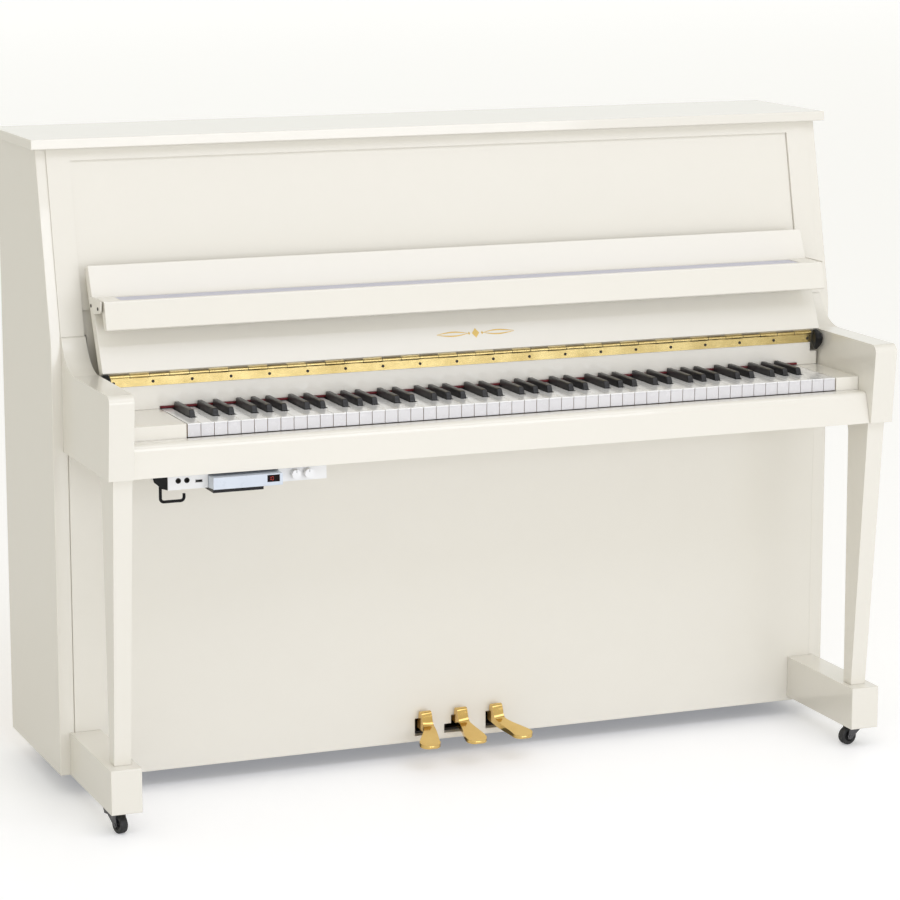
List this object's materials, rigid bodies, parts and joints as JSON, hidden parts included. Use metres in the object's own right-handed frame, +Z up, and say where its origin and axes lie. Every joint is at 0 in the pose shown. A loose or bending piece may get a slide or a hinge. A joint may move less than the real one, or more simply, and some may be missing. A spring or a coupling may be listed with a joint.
{
  "type": "upright piano",
  "caption": "Upright console piano with a folding keyboard cover and music ledge, moving keys, pedals, lid and casters, and a silent-playing control unit under the keyboard.",
  "frame": {"origin": "on the floor under the middle of the bounding box", "axes": "+X to the player's right, +Y from the player to the wall, +Z up"},
  "size_m": [1.528, 0.63, 1.152],
  "materials": {
    "cabinet_lacquer": "gloss polyester",
    "plain_wood": "satin",
    "spruce": "satin",
    "brass": "polished",
    "bracket_paint": "satin enamel",
    "black_plastic": "satin",
    "lining": "matte",
    "red_felt": "felt",
    "plate_iron": "gold paint",
    "string_steel": "drawn wire",
    "action_metal": "satin",
    "hammer_felt": "felt on wood",
    "damper_felt": "felt on wood",
    "muffler_felt": "felt",
    "key_white": "gloss acrylic on wood",
    "key_black": "satin black caps on wood",
    "caster_steel": "satin",
    "wheel": "satin",
    "unit_white": "satin",
    "unit_silver": "satin paint",
    "display": "tinted gloss",
    "hook_black": "satin"
  },
  "bodies": {
    "cabinet": {"side_board_left": "cabinet_lacquer", "side_board_right": "cabinet_lacquer", "arm_left": "cabinet_lacquer", "arm_right": "cabinet_lacquer", "leg_left": "cabinet_lacquer", "leg_right": "cabinet_lacquer", "toe_block_left": "cabinet_lacquer", "toe_block_right": "cabinet_lacquer", "upper_frame": "cabinet_lacquer", "upper_panel": "cabinet_lacquer", "lower_panel": "cabinet_lacquer", "bottom_board": "plain_wood", "key_bed": "plain_wood", "key_slip": "cabinet_lacquer", "key_blocks": "cabinet_lacquer", "name_board": "cabinet_lacquer", "fall_hinge_fixed": "brass", "felt_strip": "red_felt", "back_frame": "plain_wood", "soundboard": "spruce", "iron_plate": "plate_iron", "strings": "string_steel", "action_frame": "action_metal", "key_frame": "plain_wood", "caster_plates": "caster_steel", "control_housing": "unit_white", "headphone_hook": "hook_black"},
    "lid": {"top_lid": "cabinet_lacquer", "lid_hinges": "brass"},
    "fall": {"fallboard": "cabinet_lacquer", "fall_hinge_moving": "brass", "fall_dampers": "black_plastic"},
    "ledge": {"music_ledge": "cabinet_lacquer", "ledge_lining": "lining", "ledge_brackets": "bracket_paint"},
    "hammer_row": {"hammers": "hammer_felt"},
    "damper_row": {"dampers": "damper_felt"},
    "muffler": {"muffler_rail": "muffler_felt"},
    "white_keys": {"keys_white": "key_white"},
    "black_keys": {"keys_black": "key_black"},
    "c4": {"key_c4": "key_white"},
    "cs4": {"key_cs4": "key_black"},
    "d4": {"key_d4": "key_white"},
    "ds4": {"key_ds4": "key_black"},
    "e4": {"key_e4": "key_white"},
    "soft_pedal": {"pedal_left": "brass"},
    "muffler_pedal": {"pedal_middle": "brass"},
    "damper_pedal": {"pedal_right": "brass"},
    "fork_fl": {"caster_fork_fl": "caster_steel"},
    "fork_fr": {"caster_fork_fr": "caster_steel"},
    "fork_bl": {"caster_fork_bl": "caster_steel"},
    "fork_br": {"caster_fork_br": "caster_steel"},
    "wheel_fl": {"caster_wheel_fl": "wheel"},
    "wheel_fr": {"caster_wheel_fr": "wheel"},
    "wheel_bl": {"caster_wheel_bl": "wheel"},
    "wheel_br": {"caster_wheel_br": "wheel"},
    "drawer": {"control_drawer": "unit_silver", "display_window": "display"},
    "knob_a": {"knob_volume": "unit_white"},
    "knob_b": {"knob_voice": "unit_white"}
  },
  "joints": [
    {"name": "lid_open", "type": "hinge", "parent": "cabinet", "child": "lid", "pos_m": [0, 0.311, 1.1355], "axis": [1, 0, 0], "range_deg": [-95, 0]},
    {"name": "fallboard_close", "type": "hinge", "parent": "cabinet", "child": "fall", "pos_m": [0, -0.103, 0.757], "axis": [1, 0, 0], "range_deg": [0, 115]},
    {"name": "ledge_fold", "type": "hinge", "parent": "fall", "child": "ledge", "pos_m": [0, -0.06001, 0.88469], "axis": [1, 0, 0], "range_deg": [-113.7, 0]},
    {"name": "hammers_lift", "type": "hinge", "parent": "cabinet", "child": "hammer_row", "pos_m": [0, 0.112, 0.915], "axis": [1, 0, 0], "range_deg": [-6.5, 0]},
    {"name": "dampers_lift", "type": "hinge", "parent": "cabinet", "child": "damper_row", "pos_m": [0, 0.14, 0.9], "axis": [1, 0, 0], "range_deg": [0, 3.25]},
    {"name": "muffler_lower", "type": "slide", "parent": "cabinet", "child": "muffler", "axis": [0, 0, -1], "range_m": [0, 0.03]},
    {"name": "press_white_keys", "type": "hinge", "parent": "cabinet", "child": "white_keys", "pos_m": [0, -0.02, 0.672], "axis": [1, 0, 0], "range_deg": [0, 2.45], "stiffness_Nm_per_rad": 24.5, "springref_deg": -17.19},
    {"name": "press_black_keys", "type": "hinge", "parent": "cabinet", "child": "black_keys", "pos_m": [0, -0.02, 0.672], "axis": [1, 0, 0], "range_deg": [0, 2.45], "stiffness_Nm_per_rad": 17, "springref_deg": -17.19},
    {"name": "press_c4", "type": "hinge", "parent": "cabinet", "child": "c4", "pos_m": [0, -0.02, 0.672], "axis": [1, 0, 0], "range_deg": [0, 2.45], "stiffness_Nm_per_rad": 0.5, "springref_deg": -17.19},
    {"name": "press_cs4", "type": "hinge", "parent": "cabinet", "child": "cs4", "pos_m": [0, -0.02, 0.672], "axis": [1, 0, 0], "range_deg": [0, 2.45], "stiffness_Nm_per_rad": 0.5, "springref_deg": -17.19},
    {"name": "press_d4", "type": "hinge", "parent": "cabinet", "child": "d4", "pos_m": [0, -0.02, 0.672], "axis": [1, 0, 0], "range_deg": [0, 2.45], "stiffness_Nm_per_rad": 0.5, "springref_deg": -17.19},
    {"name": "press_ds4", "type": "hinge", "parent": "cabinet", "child": "ds4", "pos_m": [0, -0.02, 0.672], "axis": [1, 0, 0], "range_deg": [0, 2.45], "stiffness_Nm_per_rad": 0.5, "springref_deg": -17.19},
    {"name": "press_e4", "type": "hinge", "parent": "cabinet", "child": "e4", "pos_m": [0, -0.02, 0.672], "axis": [1, 0, 0], "range_deg": [0, 2.45], "stiffness_Nm_per_rad": 0.5, "springref_deg": -17.19},
    {"name": "press_soft_pedal", "type": "hinge", "parent": "cabinet", "child": "soft_pedal", "pos_m": [0, 0.02, 0.064], "axis": [1, 0, 0], "range_deg": [0, 6.5], "stiffness_Nm_per_rad": 12, "springref_deg": -14.32},
    {"name": "press_muffler_pedal", "type": "hinge", "parent": "cabinet", "child": "muffler_pedal", "pos_m": [0, 0.02, 0.064], "axis": [1, 0, 0], "range_deg": [0, 6.5], "stiffness_Nm_per_rad": 12, "springref_deg": -14.32},
    {"name": "press_damper_pedal", "type": "hinge", "parent": "cabinet", "child": "damper_pedal", "pos_m": [0, 0.02, 0.064], "axis": [1, 0, 0], "range_deg": [0, 6.5], "stiffness_Nm_per_rad": 12, "springref_deg": -14.32},
    {"name": "swivel_fl", "type": "hinge", "parent": "cabinet", "child": "fork_fl", "pos_m": [-0.717, -0.231, 0.035], "axis": [0, 0, 1], "continuous": true},
    {"name": "roll_fl", "type": "hinge", "parent": "fork_fl", "child": "wheel_fl", "pos_m": [-0.71168, -0.25235, 0.0165], "axis": [0.9703, 0.2419, 0], "continuous": true},
    {"name": "swivel_fr", "type": "hinge", "parent": "cabinet", "child": "fork_fr", "pos_m": [0.717, -0.231, 0.035], "axis": [0, 0, 1], "continuous": true},
    {"name": "roll_fr", "type": "hinge", "parent": "fork_fr", "child": "wheel_fr", "pos_m": [0.69533, -0.23482, 0.0165], "axis": [0.1736, -0.9848, 0], "continuous": true},
    {"name": "swivel_bl", "type": "hinge", "parent": "cabinet", "child": "fork_bl", "pos_m": [-0.69, 0.272, 0.035], "axis": [0, 0, 1], "continuous": true},
    {"name": "roll_bl", "type": "hinge", "parent": "fork_bl", "child": "wheel_bl", "pos_m": [-0.69752, 0.25133, 0.0165], "axis": [0.9397, -0.342, 0], "continuous": true},
    {"name": "swivel_br", "type": "hinge", "parent": "cabinet", "child": "fork_br", "pos_m": [0.69, 0.272, 0.035], "axis": [0, 0, 1], "continuous": true},
    {"name": "roll_br", "type": "hinge", "parent": "fork_br", "child": "wheel_br", "pos_m": [0.701, 0.25295, 0.0165], "axis": [0.866, 0.5, 0], "continuous": true},
    {"name": "drawer_pull", "type": "slide", "parent": "cabinet", "child": "drawer", "axis": [0, -1, 0], "range_m": [-0.026, 0.06]},
    {"name": "turn_knob_a", "type": "hinge", "parent": "cabinet", "child": "knob_a", "pos_m": [-0.4035, -0.29, 0.605], "axis": [0, 1, 0], "range_deg": [-135, 135]},
    {"name": "turn_knob_b", "type": "hinge", "parent": "cabinet", "child": "knob_b", "pos_m": [-0.3805, -0.29, 0.605], "axis": [0, 1, 0], "range_deg": [-135, 135]}
  ],
  "couplings": [
    {"joint": "ledge_fold", "follows": "fallboard_close", "ratio": -0.98783},
    {"joint": "hammers_lift", "follows": "press_soft_pedal", "ratio": -1},
    {"joint": "dampers_lift", "follows": "press_damper_pedal", "ratio": 0.5},
    {"joint": "muffler_lower", "follows": "press_muffler_pedal", "m_per_rad": 0.264}
  ]
}
